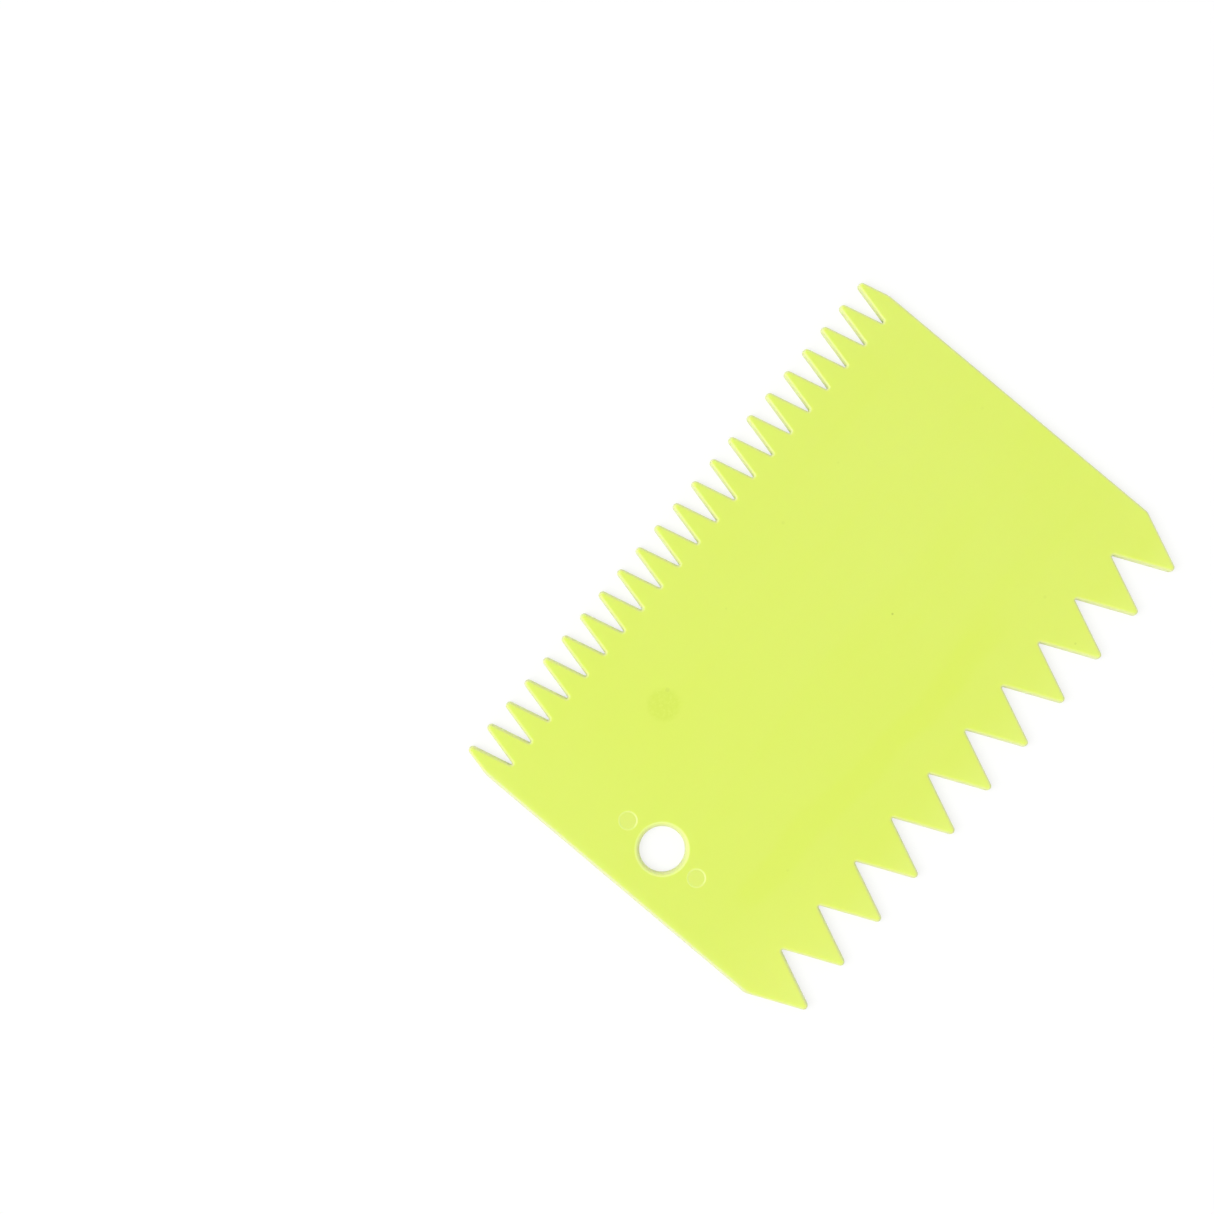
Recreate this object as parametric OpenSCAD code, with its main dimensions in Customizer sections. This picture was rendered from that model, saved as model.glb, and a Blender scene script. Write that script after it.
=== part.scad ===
// Cake scraper with a coarse and a fine comb edge, moulded as one flat plate.
// The plate lies on its flat lower face. X runs along the two combs, the coarse
// teeth point to -Y and the fine teeth to +Y. The origin is the middle of the
// footprint, on the lower face. All sizes are in millimetres.

/* [Plate] */
// Length of the plate between its two plain short sides
plate_length = 110; // [95:1:130]
// Width of the plate from the coarse tips to the fine tips
plate_width = 74.5; // [60:0.5:95]
// Thickness of the plate
plate_thickness = 2; // [1.6:0.1:3.2]
// Radius that rolls the walls over into the upper face
edge_radius = 0.5; // [0.2:0.05:0.6]
// Distance that the walls lean inwards over their height, to leave the mould
wall_draft = 0.1; // [0.04:0.02:0.16]
// Width of the narrow chamfer along the lower face
foot_chamfer = 0.1; // [0.05:0.01:0.2]

/* [Coarse comb] */
// Number of coarse teeth
coarse_count = 11; // [6:1:12]
// Depth of a coarse gap, from the tips to its root
coarse_depth = 9.8; // [7:0.1:12]
// Radius of a coarse tip
coarse_tip_radius = 0.8; // [0.75:0.05:1.1]
// Radius at the root of a coarse gap
coarse_root_radius = 0.2; // [0.1:0.05:0.5]
// Distance of the outermost coarse tips from the short sides
coarse_end = 5; // [4:0.25:6]
// Radius where the coarse comb turns into a short side
coarse_shoulder_radius = 2; // [1:0.25:4]

/* [Fine comb] */
// Number of fine teeth
fine_count = 22; // [12:1:23]
// Depth of a fine gap, from the tips to its root
fine_depth = 7.5; // [5:0.1:9]
// Radius of a fine tip
fine_tip_radius = 0.75; // [0.75:0.01:0.85]
// Radius at the root of a fine gap
fine_root_radius = 0.15; // [0.1:0.05:0.25]
// Distance of the outermost fine tips from the short sides
fine_end = 1.9; // [1.5:0.1:2.5]
// Radius where the fine comb turns into a short side
fine_shoulder_radius = 6; // [2:0.5:8]

/* [Hanging hole] */
// Diameter of the hole
hole_diameter = 8; // [6:0.2:12]
// Distance of the hole's centre from the short side next to it
hole_inset = 10; // [8:0.5:16]
// Radius that rounds the hole's rim on the upper face
hole_rim_radius = 0.8; // [0.3:0.05:0.9]

/* [Ejector marks] */
// Diameter of the flat floor of an ejector mark
mark_diameter = 2.9; // [2:0.1:4]
// Width of the slope round that floor
mark_slope = 0.2; // [0.1:0.05:0.3]
// Depth of an ejector mark in the upper face
mark_depth = 0.12; // [0.06:0.01:0.2]
// Distance from the hole's centre to the centre of an ejector mark
mark_offset = 7.8; // [7:0.1:10]

/* [Hidden] */

tip_steps = 6;       // facets round a tip
root_steps = 4;      // facets round the root of a gap
shoulder_steps = 4;  // facets round a shoulder, at least half of root_steps
edge_steps = 3;      // facets across the rolled edge
round_fn = 96;       // segments of the hole and the marks
overcut = 1;         // how far a cutting shape runs past the face that it opens

coarse_pitch = (plate_length - 2 * coarse_end) / (coarse_count - 1);
fine_pitch = (plate_length - 2 * fine_end) / (fine_count - 1);
hole_x = hole_inset - plate_length / 2;

// The rolled edge never takes more than the smallest tip has left after the draft.
least_tip = 0.05;
edge_roll = min(edge_radius, min(coarse_tip_radius, fine_tip_radius) - wall_draft - least_tip);

// Angle between a tooth's middle line and its flank. The flank is the line that
// touches the round tip on one side and the round root of the gap on the other.
function flank_angle(pitch, depth, tip_r, root_r) =
    let (across = pitch / 2, along = depth - tip_r - root_r)
    atan(across / along) - asin((tip_r + root_r) / norm([across, along]));

// An outline is a chain of arcs, joined by straight walls that touch both arcs.
// One arc is [centre, radius, first angle, last angle, steps]. A negative radius
// marks an arc that is hollow, as at the root of a gap.
function comb(count, pitch, depth, tip_r, root_r, shoulder_r) =
    let (
        lean = flank_angle(pitch, depth, tip_r, root_r),
        tip_y = tip_r - plate_width / 2,
        root_y = depth - root_r - plate_width / 2,
        last_x = pitch * (count - 1) / 2,
        shoulder_x = plate_length / 2 - shoulder_r,
        shoulder_y = tip_y + ((shoulder_x - last_x) * cos(lean) - tip_r + shoulder_r) / sin(lean)
    )
    concat(
        [[[-shoulder_x, shoulder_y], shoulder_r, 180, 180 + lean, shoulder_steps]],
        [for (k = [0 : 2 * count - 2])
            let (x = pitch * k / 2 - last_x)
            k % 2 == 0
                ? [[x, tip_y], tip_r, 180 + lean, 360 - lean, tip_steps]
                : [[x, root_y], -root_r, 180 - lean, lean, root_steps]],
        [[[shoulder_x, shoulder_y], shoulder_r, 360 - lean, 360, shoulder_steps]]
    );

// The same chain turned half a turn about the origin, for the opposite edge
function opposite(arcs) = [for (a = arcs) [-a[0], a[1], a[2] + 180, a[3] + 180, a[4]]];

outline = concat(
    comb(coarse_count, coarse_pitch, coarse_depth, coarse_tip_radius,
         coarse_root_radius, coarse_shoulder_radius),
    opposite(comb(fine_count, fine_pitch, fine_depth, fine_tip_radius,
                  fine_root_radius, fine_shoulder_radius))
);

// Points of the outline moved inwards by a distance, at one height. An arc keeps
// its centre: a round one shrinks and a hollow one grows.
function ring(inwards, z) = [
    for (a = outline)
        let (r = a[1] > 0 ? a[1] - inwards : inwards - a[1])
        for (s = [0 : a[4]])
            let (angle = a[2] + (a[3] - a[2]) * s / a[4])
            [a[0].x + r * cos(angle), a[0].y + r * sin(angle), z]
];

// Section of the wall, from the lower face up: [inward distance, height]
wall_section = concat(
    [[foot_chamfer, 0], [0, foot_chamfer]],
    [for (s = [0 : edge_steps])
        let (turn = 90 * s / edge_steps)
        [wall_draft + edge_roll * (1 - cos(turn)),
         plate_thickness - edge_roll * (1 - sin(turn))]]
);

// Numbers of the points in a ring, counted from the point where a comb starts.
// Half of a tooth's points lie between the middle of its tip and of a root.
tooth_points = tip_steps + root_steps + 2;
half_tooth = tooth_points / 2;
function tip_at(first, k) = first + shoulder_steps + 1 + k * tooth_points + tip_steps / 2;
function next_after(first, count) = tip_at(first, count - 1) + tip_steps / 2 + shoulder_steps + 2;
fine_first = next_after(0, coarse_count);
ring_points = next_after(fine_first, fine_count);

// Every tooth in a flat face, as bars across it from the tip to its two roots
function bars(first, count) = [
    for (k = [0 : count - 1], j = [0 : half_tooth - 1])
        let (m = tip_at(first, k))
        j == 0 ? [m - 1, m, m + 1] : [m - j - 1, m - j, m + j, m + j + 1]
];

// A whole flat face, counterclockwise from above: the teeth, the plate's two ends
// and the middle, which two fans fill between the roots of both combs
flat_face =
    let (
        c = [for (k = [0 : coarse_count - 2]) tip_at(0, k) + half_tooth],
        f = [for (k = [0 : fine_count - 2]) tip_at(fine_first, k) + half_tooth]
    )
    concat(
        bars(0, coarse_count),
        bars(fine_first, fine_count),
        [
            [f[0], c[coarse_count - 2],
             each [c[coarse_count - 2] + tooth_points : f[0] - tooth_points]],
            [f[fine_count - 2],
             each [f[fine_count - 2] + tooth_points : ring_points - 1],
             each [0 : c[0] - tooth_points], c[0]],
            [c[0], each f],
            [f[0], each c]
        ]
    );

// The same face seen from the other side, on a ring further up the list of points
function flipped(face, offset) =
    [for (i = [0 : len(face) - 1]) face[(len(face) - i) % len(face)] + offset];

// Toothed plate: the outline carried up the wall's section and closed on both faces
module plate() {
    rings = [for (w = wall_section) ring(w[0], w[1])];
    top = len(rings) - 1;
    polyhedron(
        points = [for (r = rings) each r],
        faces = concat(
            flat_face,
            [for (face = flat_face) flipped(face, top * ring_points)],
            [for (k = [0 : top - 1], i = [0 : ring_points - 1])
                let (j = (i + 1) % ring_points, low = k * ring_points, high = low + ring_points)
                [high + i, high + j, low + j, low + i]]
        ),
        convexity = 12
    );
}

// Straight hole with a rounded rim on the upper face
module hanging_hole() {
    bore_r = hole_diameter / 2;
    rim_z = plate_thickness - hole_rim_radius;
    translate([0, 0, -overcut])
        cylinder(r = bore_r, h = plate_thickness + 2 * overcut, $fn = round_fn);
    rotate_extrude($fn = round_fn)
        difference() {
            translate([0, rim_z])
                square([bore_r + hole_rim_radius, hole_rim_radius + overcut]);
            translate([bore_r + hole_rim_radius, rim_z])
                circle(r = hole_rim_radius, $fn = round_fn);
        }
}

// Shallow dish that an ejector pin leaves in the upper face
module ejector_mark() {
    floor_r = mark_diameter / 2;
    slope = mark_slope / mark_depth;
    translate([0, 0, plate_thickness - mark_depth])
        cylinder(r1 = floor_r, r2 = floor_r + slope * (mark_depth + overcut),
                 h = mark_depth + overcut, $fn = round_fn);
}

module comb_scraper() {
    color([0.88, 0.95, 0.43])
        difference() {
            plate();
            translate([hole_x, 0, 0]) {
                hanging_hole();
                for (side = [-1, 1])
                    translate([0, side * mark_offset, 0]) ejector_mark();
            }
        }
}

comb_scraper();
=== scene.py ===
import math
import bmesh
import bpy
from mathutils import Matrix, Vector


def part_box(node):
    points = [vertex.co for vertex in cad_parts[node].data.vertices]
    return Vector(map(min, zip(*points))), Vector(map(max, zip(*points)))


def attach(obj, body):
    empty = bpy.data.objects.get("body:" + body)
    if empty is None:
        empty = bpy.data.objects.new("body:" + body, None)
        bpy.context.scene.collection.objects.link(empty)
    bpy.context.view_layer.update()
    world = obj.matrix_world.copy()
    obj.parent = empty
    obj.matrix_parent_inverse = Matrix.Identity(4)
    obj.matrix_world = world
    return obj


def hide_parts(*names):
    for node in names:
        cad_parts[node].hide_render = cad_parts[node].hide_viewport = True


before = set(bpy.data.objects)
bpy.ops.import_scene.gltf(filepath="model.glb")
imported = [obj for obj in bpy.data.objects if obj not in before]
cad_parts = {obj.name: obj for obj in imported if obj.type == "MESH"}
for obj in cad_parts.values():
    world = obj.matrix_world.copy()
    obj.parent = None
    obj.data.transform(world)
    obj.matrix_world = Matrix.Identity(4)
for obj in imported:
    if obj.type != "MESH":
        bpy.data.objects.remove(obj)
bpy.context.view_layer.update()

plate = {
    "foot": 0.0001,  # chamfer along the lower face
    "land": 0.0001,  # upright strip above the chamfer
    "draft": 0.0001,  # how far the wall leans in
    "roll": 0.0005,  # radius into the upper face
    "rollSteps": 7,
    "margin": 0.00006,  # flat strip that keeps the roll's shading off the faces
    "creaseAngle": math.radians(32),
    "faceWeight": 90,  # how far shading follows the large faces, of 100
    "closeness": 1e-7,  # points closer than this are one
}
coarseComb = {
    "count": 11, "depth": 0.0098, "end": 0.005,
    "tip": 0.0008, "root": 0.0002, "shoulder": 0.002,
    "tipSteps": 12, "rootSteps": 6, "shoulderSteps": 5,
}
fineComb = {
    "count": 22, "depth": 0.0075, "end": 0.0019,
    "tip": 0.00075, "root": 0.00015, "shoulder": 0.006,
    "tipSteps": 12, "rootSteps": 6, "shoulderSteps": 5,
}
hangingHole = {"x": -0.045, "radius": 0.004, "rim": 0.0008, "rimSteps": 8, "turns": 96}
pinMark = {"offset": 0.0078, "radius": 0.00145, "slope": 0.0002, "depth": 0.00012, "turns": 48}


def vertsIn(items):
    return [item for item in items if isinstance(item, bmesh.types.BMVert)]


def lineTo(mesh, vert, spot):
    end = vertsIn(bmesh.ops.extrude_vert_indiv(mesh, verts=[vert])["verts"])[0]
    bmesh.ops.translate(mesh, verts=[end], vec=spot - end.co)
    return end


def arcFrom(mesh, vert, centre, turn, steps, axis=(0, 0, 1)):
    swept = bmesh.ops.spin(mesh, geom=[vert], cent=centre, axis=axis, angle=turn, steps=steps)
    return vertsIn(swept["geom_last"])[0]


def combArcs(comb, size):
    # each arc: centre, radius, first angle, turn and steps, left to right along the comb
    tip, root, shoulder = comb["tip"], comb["root"], comb["shoulder"]
    pitch = (size.x - 2 * comb["end"]) / (comb["count"] - 1)
    across, along = pitch / 2, comb["depth"] - tip - root
    lean = math.atan2(across, along) - math.asin((tip + root) / math.hypot(across, along))
    tipY = tip - size.y / 2
    rootY = comb["depth"] - root - size.y / 2
    lastX = pitch * (comb["count"] - 1) / 2
    sideX = size.x / 2 - shoulder
    sideY = tipY + ((sideX - lastX) * math.cos(lean) - tip + shoulder) / math.sin(lean)
    arcs = [(Vector((-sideX, sideY, 0)), shoulder, math.pi, lean, comb["shoulderSteps"])]
    for k in range(2 * comb["count"] - 1):
        x = pitch * k / 2 - lastX
        if k % 2 == 0:
            angle, turn = math.pi + lean, math.pi - 2 * lean
            arcs.append((Vector((x, tipY, 0)), tip, angle, turn, comb["tipSteps"]))
        else:
            angle, turn = math.pi - lean, 2 * lean - math.pi
            arcs.append((Vector((x, rootY, 0)), root, angle, turn, comb["rootSteps"]))
    arcs.append((Vector((sideX, sideY, 0)), shoulder, -lean, lean, comb["shoulderSteps"]))
    return arcs


def drawOutline(mesh, size):
    halfTurn = Matrix.Rotation(math.pi, 4, "Z")
    arcs = [(arc, 0) for arc in combArcs(coarseComb, size)]
    arcs += [(arc, math.pi) for arc in combArcs(fineComb, size)]
    first = pen = None
    for (centre, radius, angle, turn, steps), turned in arcs:
        if turned:
            centre = halfTurn @ centre
        angle += turned
        start = centre + radius * Vector((math.cos(angle), math.sin(angle), 0))
        if pen is None:
            first = pen = bmesh.ops.create_vert(mesh, co=start)["vert"][0]
        else:
            pen = lineTo(mesh, pen, start)
        pen = arcFrom(mesh, pen, centre, turn, steps)
    bmesh.ops.contextual_create(mesh, geom=[pen, first])
    return bmesh.ops.edgeloop_fill(mesh, edges=mesh.edges[:])["faces"][0]


def insetBy(mesh, face, inwards, upwards):
    bmesh.ops.inset_region(
        mesh, faces=[face], thickness=inwards, depth=upwards,
        use_boundary=True, use_even_offset=True,
    )


def raisePlate(mesh, size):
    outline = drawOutline(mesh, size)
    bmesh.ops.translate(mesh, verts=mesh.verts[:], vec=(0, 0, plate["foot"]))
    lifted = vertsIn(bmesh.ops.extrude_face_region(mesh, geom=[outline])["geom"])
    bmesh.ops.translate(mesh, verts=lifted, vec=(0, 0, plate["land"]))
    bmesh.ops.recalc_face_normals(mesh, faces=mesh.faces[:])
    upper = max(mesh.faces, key=lambda face: (len(face.verts), face.calc_center_median().z))
    lower = max(mesh.faces, key=lambda face: (len(face.verts), -face.calc_center_median().z))
    insetBy(mesh, lower, plate["foot"], plate["foot"])
    insetBy(mesh, upper, plate["draft"], size.z - plate["foot"] - plate["land"] - plate["roll"])
    for step in range(plate["rollSteps"]):
        here, there = (math.pi / 2 * s / plate["rollSteps"] for s in (step, step + 1))
        insetBy(
            mesh, upper,
            plate["roll"] * (math.cos(here) - math.cos(there)),
            plate["roll"] * (math.sin(there) - math.sin(here)),
        )
    insetBy(mesh, upper, plate["margin"], 0)
    bmesh.ops.delete(mesh, geom=[upper, lower], context="FACES_ONLY")


def spinRound(mesh, points, spot, turns):
    # points: radius and height, or (centre radius, centre height, turn, steps) for an arc
    start = spot + Vector((points[0][0], 0, points[0][1]))
    pen = bmesh.ops.create_vert(mesh, co=start)["vert"][0]
    chain, before = [pen], set(mesh.verts)
    for radius, height, *arc in points[1:]:
        target = spot + Vector((radius, 0, height))
        if arc:
            turn, steps = arc
            pen = arcFrom(mesh, pen, target, turn, steps, (0, 1, 0))
        else:
            pen = lineTo(mesh, pen, target)
    chain += [vert for vert in mesh.verts if vert not in before]
    edges = [edge for edge in mesh.edges if all(vert in chain for vert in edge.verts)]
    bmesh.ops.spin(
        mesh, geom=chain + edges, cent=spot, axis=(0, 0, 1),
        angle=2 * math.pi, steps=turns, use_merge=True,
    )


def closeLevel(mesh, height, normal):
    def onLevel(vert):
        return abs(vert.co.z - height) < plate["closeness"]

    rim = [edge for edge in mesh.edges if edge.is_boundary and all(map(onLevel, edge.verts))]
    bmesh.ops.triangle_fill(mesh, edges=rim, use_beauty=True, normal=normal)


def makePlate():
    low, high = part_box("comb_scraper")
    size = high - low
    mesh = bmesh.new()
    raisePlate(mesh, size)

    holeSpot = Vector((hangingHole["x"], 0, 0))
    rim = hangingHole["radius"] + hangingHole["rim"]
    spinRound(mesh, [
        (rim + plate["margin"], size.z),
        (rim, size.z),
        (rim, size.z - hangingHole["rim"], -math.pi / 2, hangingHole["rimSteps"]),
        (hangingHole["radius"], 0),
    ], holeSpot, hangingHole["turns"])

    lip = pinMark["radius"] + pinMark["slope"]
    pinFloor = size.z - pinMark["depth"]
    for side in (-1, 1):
        spinRound(mesh, [
            (lip + plate["margin"], size.z),
            (lip, size.z),
            (pinMark["radius"], pinFloor),
            (pinMark["radius"] - plate["margin"], pinFloor),
            (0, pinFloor),
        ], holeSpot + Vector((0, side * pinMark["offset"], 0)), pinMark["turns"])

    bmesh.ops.remove_doubles(mesh, verts=mesh.verts[:], dist=plate["closeness"])
    closeLevel(mesh, size.z, (0, 0, 1))
    closeLevel(mesh, 0, (0, 0, -1))
    bmesh.ops.recalc_face_normals(mesh, faces=mesh.faces[:])
    for face in mesh.faces:
        face.smooth = True
    for edge in mesh.edges:
        if edge.is_manifold and edge.calc_face_angle() > plate["creaseAngle"]:
            edge.smooth = False

    openEdges = sum(not edge.is_manifold for edge in mesh.edges)
    volume = mesh.calc_volume() * 1000 ** 3
    print("comb plate:", len(mesh.faces), "faces,", openEdges, "open edges,", volume, "mm3")
    data = bpy.data.meshes.new("combPlate")
    mesh.to_mesh(data)
    mesh.free()
    piece = bpy.data.objects.new("combPlate", data)
    bpy.context.scene.collection.objects.link(piece)
    weighted = piece.modifiers.new("Weighted Normal", "WEIGHTED_NORMAL")
    weighted.weight = plate["faceWeight"]
    weighted.keep_sharp = True
    return piece


combPlate = makePlate()


class Signal:
    def __init__(self, graph, socket):
        self.graph = graph
        self.socket = socket

    def calc(self, operation, first, second):
        return self.graph.node("ShaderNodeMath", {"operation": operation}, {0: first, 1: second})

    def __add__(self, other):
        return self.calc("ADD", self, other)

    def __radd__(self, other):
        return self.calc("ADD", other, self)

    def __sub__(self, other):
        return self.calc("SUBTRACT", self, other)

    def __rsub__(self, other):
        return self.calc("SUBTRACT", other, self)

    def __mul__(self, other):
        return self.calc("MULTIPLY", self, other)

    def __rmul__(self, other):
        return self.calc("MULTIPLY", other, self)

    def __pow__(self, other):
        return self.calc("POWER", self, other)

    def __abs__(self):
        return self.calc("ABSOLUTE", self, 0)

    def clipped(self):
        return self.graph.node("ShaderNodeClamp", None, {"Value": self})

    def ramp(self, low, high):  # 0 below low, 1 above high, with soft ends
        return self.graph.node(
            "ShaderNodeMapRange", {"interpolation_type": "SMOOTHSTEP"},
            {"Value": self, "From Min": low, "From Max": high, "To Min": 0, "To Max": 1},
        )

    def fade(self, low, high):  # 1 below low, 0 above high
        return 1 - self.ramp(low, high)

    def sway(self, reach):  # turns noise into a swing to either side of 0
        return (self - 0.5) * reach


class Graph:
    def __init__(self, owner):  # a material or a world
        self.owner = owner
        owner.use_nodes = True
        self.tree = owner.node_tree
        self.tree.nodes.clear()

    def node(self, kind, settings=None, inputs=None, output=0):
        made = self.tree.nodes.new(kind)
        for name, value in (settings or {}).items():
            setattr(made, name, value)
        for name, value in (inputs or {}).items():
            if isinstance(value, Signal):
                self.tree.links.new(value.socket, made.inputs[name])
            else:
                made.inputs[name].default_value = value
        return Signal(self, made.outputs[output]) if len(made.outputs) else made

    def noise(self, place, stretch, scale, detail, roughness):
        stretched = self.node("ShaderNodeMapping", None, {"Vector": place, "Scale": stretch})
        return self.node(
            "ShaderNodeTexNoise", {"noise_dimensions": "3D"},
            {"Vector": stretched, "Scale": scale, "Detail": detail, "Roughness": roughness},
        )

    def mixColour(self, factor, first, second):
        return self.node(
            "ShaderNodeMix", {"data_type": "RGBA", "clamp_factor": True},
            {0: factor, 6: first, 7: second}, output=2,
        )

    def distance(self, field, spot):
        return self.node(
            "ShaderNodeVectorMath", {"operation": "DISTANCE"}, {0: field, 1: spot}, output="Value",
        )

    def seen(self):  # 1 for what the camera sees, straight, reflected or through a clear piece
        rays = self.node("ShaderNodeLightPath").socket.node.outputs
        kinds = ("Is Camera Ray", "Is Glossy Ray", "Is Transmission Ray")
        camera, glossy, through = (Signal(self, rays[kind]) for kind in kinds)
        return (camera + glossy + through).clipped()


lime = {  # lengths in metres, and a pair is where a fade starts and where it ends
    "body": (0.673, 0.789, 0.128, 1),
    "flowAndShade": (0.664, 0.786, 0.095, 1),  # darker where the flow lines run together, and painted shade in a band and at the hole end
    "litCornerTint": (0.701, 0.803, 0.131, 1),  # painted light, lighter towards the lit corner at the coarse comb's hole end
    "edgeGlow": (0.702, 0.805, 0.154, 1),  # painted glow of light through the edges, at the coarse tips and along the hole's short side
    "blush": (0.624, 0.751, 0.075, 1),
    "speck": (0.491, 0.591, 0.072, 1),
    "wall": (0.722, 0.773, 0.345, 1),  # painted glow and reflection: thin edges let the white light through
    "rim": (0.706, 0.730, 0.445, 1),  # painted highlight on the lit rolled edge of the hole's short side, the palest of all
    "pinFloor": (0.678, 0.784, 0.143, 1),
    "glint": (0.763, 0.874, 0.279, 1),  # pale line along the hole's rim and the pin marks
    "noises": {  # stretch, scale, detail and roughness
        "clouds": ((1, 1, 1), 28, 2, 0.5),
        "streaks": ((9, 120, 9), 1, 3, 0.6),  # moulding flow along the plate
        "smudges": ((1, 1, 1), 90, 4, 0.6),
        "mottle": ((1, 1, 1), 1500, 2, 0.7),
        "grain": ((1, 1, 1), 2600, 2, 0.6),
    },
    "skin": (0.0006, 0.0004),  # depth below the upper face where its own marks end
    "flowAndShadeShares": {
        "clouds": (0.4, 0.75), "cloudShare": 0.3,
        "streaks": (0.45, 0.75), "streakShare": 0.3,
        "x": (-0.03, 0.04), "endShare": 0.6,  # more of it at the hole end: painted shade
    },
    # painted shade: a darker band along the plate
    "shadeBand": {
        "y": -0.018, "half": (0.00105, 0.0035), "waver": 0.012,
        "start": (-0.046, -0.040), "end": (0.016, 0.028), "share": 0.5,
    },
    # painted light: lighter towards the lit corner
    "litCorner": {"y": (-0.034, -0.014), "x": (-0.048, -0.020), "least": 0.3},
    # painted glow at the coarse tips and along the hole's short side
    "glowingEnds": {"y": (-0.0365, -0.0290), "yShare": 0.85, "x": (-0.0550, -0.0532)},
    "gateBlush": {  # round, mottled blush over the moulding gate
        "at": (-0.02552, 0.01600, 0), "edge": (0.002146, 0.00348), "mottle": (0.2, 0.6),
    },
    "speckCore": 0.5,  # share of a speck's radius that has its full strength
    "speckStray": 0.5,  # how ragged its edge is
    "specks": (  # x, y, radius, strength
        (0.0124, -0.0044, 0.00024, 1.00), (-0.0231, 0.0172, 0.00050, 0.26),
        (0.0290, -0.0322, 0.00026, 0.40), (0.0318, -0.0229, 0.00040, 0.16),
        (0.0123, 0.0205, 0.00038, 0.15), (-0.0056, 0.0185, 0.00026, 0.16),
        (-0.0337, -0.0191, 0.00028, 0.15), (0.0266, 0.0199, 0.00030, 0.12),
        (0.0502, 0.0067, 0.00034, 0.10),
    ),
    "edges": {
        "curve": 0.5, "gain": 1.7,  # how fast the wall's painted glow comes in over the roll
        "below": 0.0005, "loss": 0.35,  # share of it that is lost, over this depth, below the roll
        "foot": (0.00002, 0.00015), "aroundMark": 0.0001,
    },
    # painted highlight along the lit short side by the hole
    "litShortRim": {"x": (-0.0549, -0.0541), "below": 0.0004},
    "pinFade": 0.0001,  # the pin floor's tint fades from this far inside the floor to the lip
    "pinLine": {"inside": 0.00008, "half": (0.00005, 0.00024), "share": 0.7},
    "holeLine": {"outside": 0.00066, "half": (0.00006, 0.00030), "share": 0.8},
    "roughness": 0.40,
    "dullness": {"smudges": 0.14, "streaks": 0.06},  # how far these sway the roughness
    "bumps": {"strength": 0.12, "height": 0.00002, "grain": 0.5, "smudges": 1.5, "streaks": 2},
    "ior": 1.49,
    "spread": 0.55,  # share of the light that spreads inside the plastic
    "depth": 0.0016,  # how far it spreads
    "reach": (0.8, 1.0, 0.35),  # share of that depth for red, green and blue
}


def tintFace(graph, x, y, noises):  # slow changes over the whole face, with painted shade and painted light
    flowAndShadeShares, band, corner = lime["flowAndShadeShares"], lime["shadeBand"], lime["litCorner"]
    clouds, streaks = noises["clouds"], noises["streaks"]
    # painted shade: a darker band along the plate
    inBand = abs(y - band["y"] + clouds.sway(band["waver"])).fade(*band["half"])
    inBand = inBand * x.ramp(*band["start"]) * x.fade(*band["end"])
    flowAndShade = clouds.ramp(*flowAndShadeShares["clouds"]) * flowAndShadeShares["cloudShare"]
    flowAndShade = flowAndShade + streaks.ramp(*flowAndShadeShares["streaks"]) * flowAndShadeShares["streakShare"] + inBand * band["share"]
    # painted shade towards the hole end
    flowAndShade = flowAndShade + x.fade(*flowAndShadeShares["x"]) * flowAndShadeShares["endShare"]
    colour = graph.mixColour(flowAndShade, lime["body"], lime["flowAndShade"])
    # painted light: lighter towards the lit corner
    towardsHole = corner["least"] + (1 - corner["least"]) * x.fade(*corner["x"])
    colour = graph.mixColour(y.fade(*corner["y"]) * towardsHole, colour, lime["litCornerTint"])
    # painted glow at the coarse tips and along the hole's short side
    ends = lime["glowingEnds"]
    edgeGlow = y.fade(*ends["y"]) * ends["yShare"] + x.fade(*ends["x"])
    return graph.mixColour(edgeGlow.clipped(), colour, lime["edgeGlow"])


def tintSpots(graph, colour, flat, mottle, onTop):
    gate = lime["gateBlush"]
    inBlush = graph.distance(flat, gate["at"]).fade(*gate["edge"]) * mottle.ramp(*gate["mottle"])
    colour = graph.mixColour(inBlush * onTop, colour, lime["blush"])
    for x, y, radius, strength in lime["specks"]:
        toSpeck = graph.distance(flat, (x, y, 0)) + mottle.sway(lime["speckStray"] * radius)
        inSpeck = toSpeck.fade(lime["speckCore"] * radius, radius) * onTop * strength
        colour = graph.mixColour(inSpeck, colour, lime["speck"])
    return colour


def tintEdges(graph, colour, x, z, drop, toMark):
    edges, rim = lime["edges"], lime["litShortRim"]
    lip, roll = pinMark["radius"] + pinMark["slope"], plate["roll"]
    # painted glow and reflection over the roll and the wall
    overEdge = (abs(drop * (1 / roll)) ** edges["curve"] * edges["gain"]).clipped()
    downWall = 1 - edges["loss"] * drop.ramp(roll, roll + edges["below"])
    offMark = toMark.ramp(lip, lip + edges["aroundMark"])
    edgeGlow = overEdge * downWall * z.ramp(*edges["foot"]) * offMark
    colour = graph.mixColour(edgeGlow, colour, lime["wall"])
    # painted highlight on the lit short side's rolled edge
    onLitRim = x.fade(*rim["x"]) * drop.fade(roll, roll + rim["below"])
    return graph.mixColour(onLitRim, colour, lime["rim"])


def tintMarks(graph, colour, toMark, toHole, onTop):
    pinLine, holeLine = lime["pinLine"], lime["holeLine"]
    lip = pinMark["radius"] + pinMark["slope"]
    inMark = toMark.fade(pinMark["radius"] - lime["pinFade"], lip)
    colour = graph.mixColour(inMark * onTop, colour, lime["pinFloor"])
    onLine = abs(toMark - (lip - pinLine["inside"])).fade(*pinLine["half"])
    colour = graph.mixColour(onLine * pinLine["share"] * onTop, colour, lime["glint"])
    onLine = abs(toHole - (hangingHole["radius"] + holeLine["outside"])).fade(*holeLine["half"])
    return graph.mixColour(onLine * holeLine["share"] * onTop, colour, lime["glint"])


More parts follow.
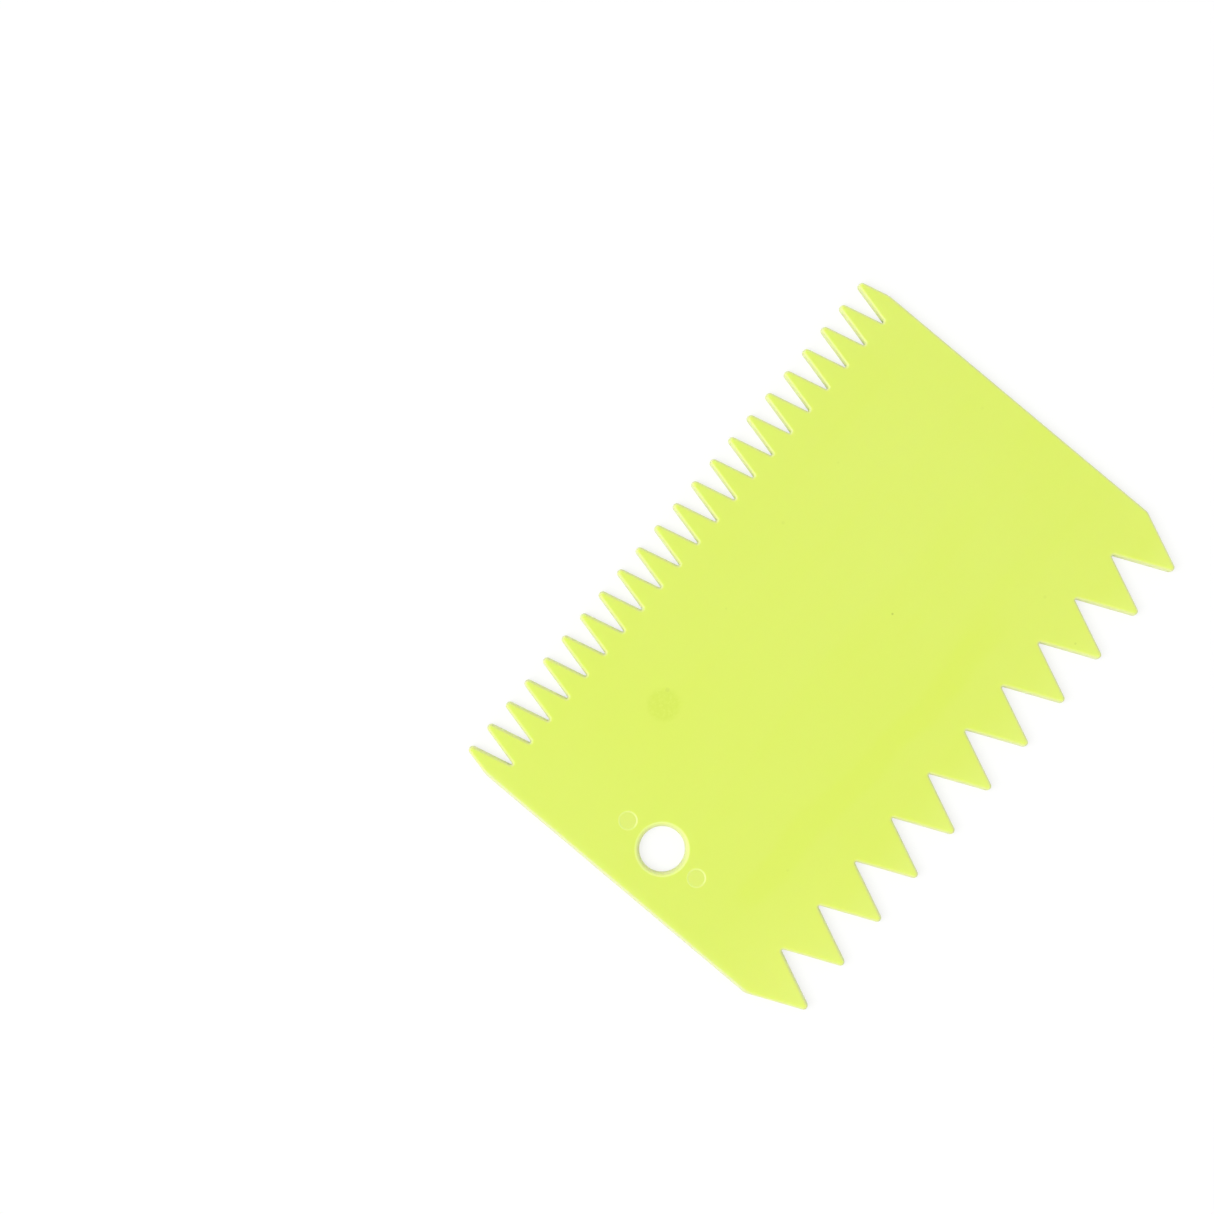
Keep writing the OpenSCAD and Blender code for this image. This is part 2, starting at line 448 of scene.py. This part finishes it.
def makeLime():
    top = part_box("comb_scraper")[1].z
    graph = Graph(bpy.data.materials.new("limePolypropylene"))
    place = graph.node("ShaderNodeTexCoord", output="Object")
    parts = graph.node("ShaderNodeSeparateXYZ", None, {"Vector": place})
    x, y, z = (Signal(graph, parts.socket.node.outputs[axis]) for axis in "XYZ")
    flat = graph.node("ShaderNodeCombineXYZ", None, {"X": x, "Y": y})
    folded = graph.node("ShaderNodeCombineXYZ", None, {"X": x, "Y": abs(y)})
    noises = {name: graph.noise(place, *values) for name, values in lime["noises"].items()}
    grain, smudges, streaks = (noises[name] for name in ("grain", "smudges", "streaks"))
    onTop = z.ramp(*(top - depth for depth in lime["skin"]))
    drop = top - z
    toMark = graph.distance(folded, (hangingHole["x"], pinMark["offset"], 0))
    toHole = graph.distance(flat, (hangingHole["x"], 0, 0))

    colour = tintFace(graph, x, y, noises)
    colour = tintSpots(graph, colour, flat, noises["mottle"], onTop)
    colour = tintEdges(graph, colour, x, z, drop, toMark)
    colour = tintMarks(graph, colour, toMark, toHole, onTop)

    dull, bumps = lime["dullness"], lime["bumps"]
    roughness = lime["roughness"] + smudges.sway(dull["smudges"]) + streaks.sway(dull["streaks"])
    height = grain * bumps["grain"] + smudges * bumps["smudges"] + streaks * bumps["streaks"]
    bumpy = graph.node(
        "ShaderNodeBump", None,
        {"Strength": bumps["strength"], "Distance": bumps["height"], "Height": height},
    )
    shader = graph.node("ShaderNodeBsdfPrincipled", {"subsurface_method": "RANDOM_WALK"}, {
        "Base Color": colour, "Roughness": roughness, "Normal": bumpy, "IOR": lime["ior"],
        "Subsurface Weight": lime["spread"], "Subsurface Radius": lime["reach"],
        "Subsurface Scale": lime["depth"],
    })
    graph.node("ShaderNodeOutputMaterial", None, {"Surface": shader})
    return graph.owner


combPlate.data.materials.append(makeLime())
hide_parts("comb_scraper")
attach(combPlate, "root")
print("lime plastic on the comb plate")

studio = {
    "floorSize": 3.0,
    "floorDrop": 0.00006,
    "floorWhite": 0.92,
    "floorGlow": 0.75,  # share of plain white in what is seen of the floor
    "world": 0.645,
    "key": {"spot": (-1.74, 1.10, 3.3), "size": 3.0, "watts": 101.0},
    "camera": (-0.02607, 0.02734, 0.4809),
    "aim": (-0.01877, 0.03464, 0),
    "up": (0.7655, 0.6435, 0),
    "fieldOfView": math.radians(25),
    "clip": (0.01, 10),
}


def makeFloor():
    mesh = bmesh.new()
    bmesh.ops.create_grid(mesh, x_segments=1, y_segments=1, size=studio["floorSize"] / 2)
    bmesh.ops.translate(mesh, verts=mesh.verts[:], vec=(0, 0, -studio["floorDrop"]))
    data = bpy.data.meshes.new("paleFloor")
    mesh.to_mesh(data)
    mesh.free()
    floor = bpy.data.objects.new("paleFloor", data)
    bpy.context.scene.collection.objects.link(floor)
    graph = Graph(bpy.data.materials.new("paleFloorPaint"))
    white = studio["floorWhite"]
    paint = graph.node("ShaderNodeBsdfDiffuse", None, {"Color": (white, white, white, 1)})
    glow = graph.node("ShaderNodeEmission", None, {"Color": (1, 1, 1, 1), "Strength": 1})
    share = graph.seen() * studio["floorGlow"]
    mixed = graph.node("ShaderNodeMixShader", None, {0: share, 1: paint, 2: glow})
    graph.node("ShaderNodeOutputMaterial", None, {"Surface": mixed})
    data.materials.append(graph.owner)


def lookAlong(spot, aim, up):
    forward = (Vector(aim) - Vector(spot)).normalized()
    right = forward.cross(Vector(up)).normalized()
    turn = Matrix((right, right.cross(forward), -forward)).transposed()
    return Matrix.Translation(spot) @ turn.to_4x4()


def makeLight():
    world = bpy.data.worlds.new("studioWhite")
    bpy.context.scene.world = world
    graph = Graph(world)
    strength = studio["world"] + (1 - studio["world"]) * graph.seen()
    sky = graph.node("ShaderNodeBackground", None, {"Color": (1, 1, 1, 1), "Strength": strength})
    graph.node("ShaderNodeOutputWorld", None, {"Surface": sky})
    key = studio["key"]
    lamp = bpy.data.lights.new("keySoftbox", "AREA")
    lamp.size = key["size"]
    lamp.energy = key["watts"]
    holder = bpy.data.objects.new("keySoftbox", lamp)
    holder.matrix_world = lookAlong(key["spot"], (0, 0, 0), (0, 0, 1))
    bpy.context.scene.collection.objects.link(holder)


def makeCamera():
    lens = bpy.data.cameras.new("photoCamera")
    lens.sensor_fit = "HORIZONTAL"
    lens.angle = studio["fieldOfView"]
    lens.clip_start, lens.clip_end = studio["clip"]
    camera = bpy.data.objects.new("photoCamera", lens)
    camera.matrix_world = lookAlong(studio["camera"], studio["aim"], studio["up"])
    bpy.context.scene.collection.objects.link(camera)
    bpy.context.scene.camera = camera


makeFloor()
makeLight()
makeCamera()
bpy.context.scene.view_settings.view_transform = "Standard"
print("floor, light and camera set")
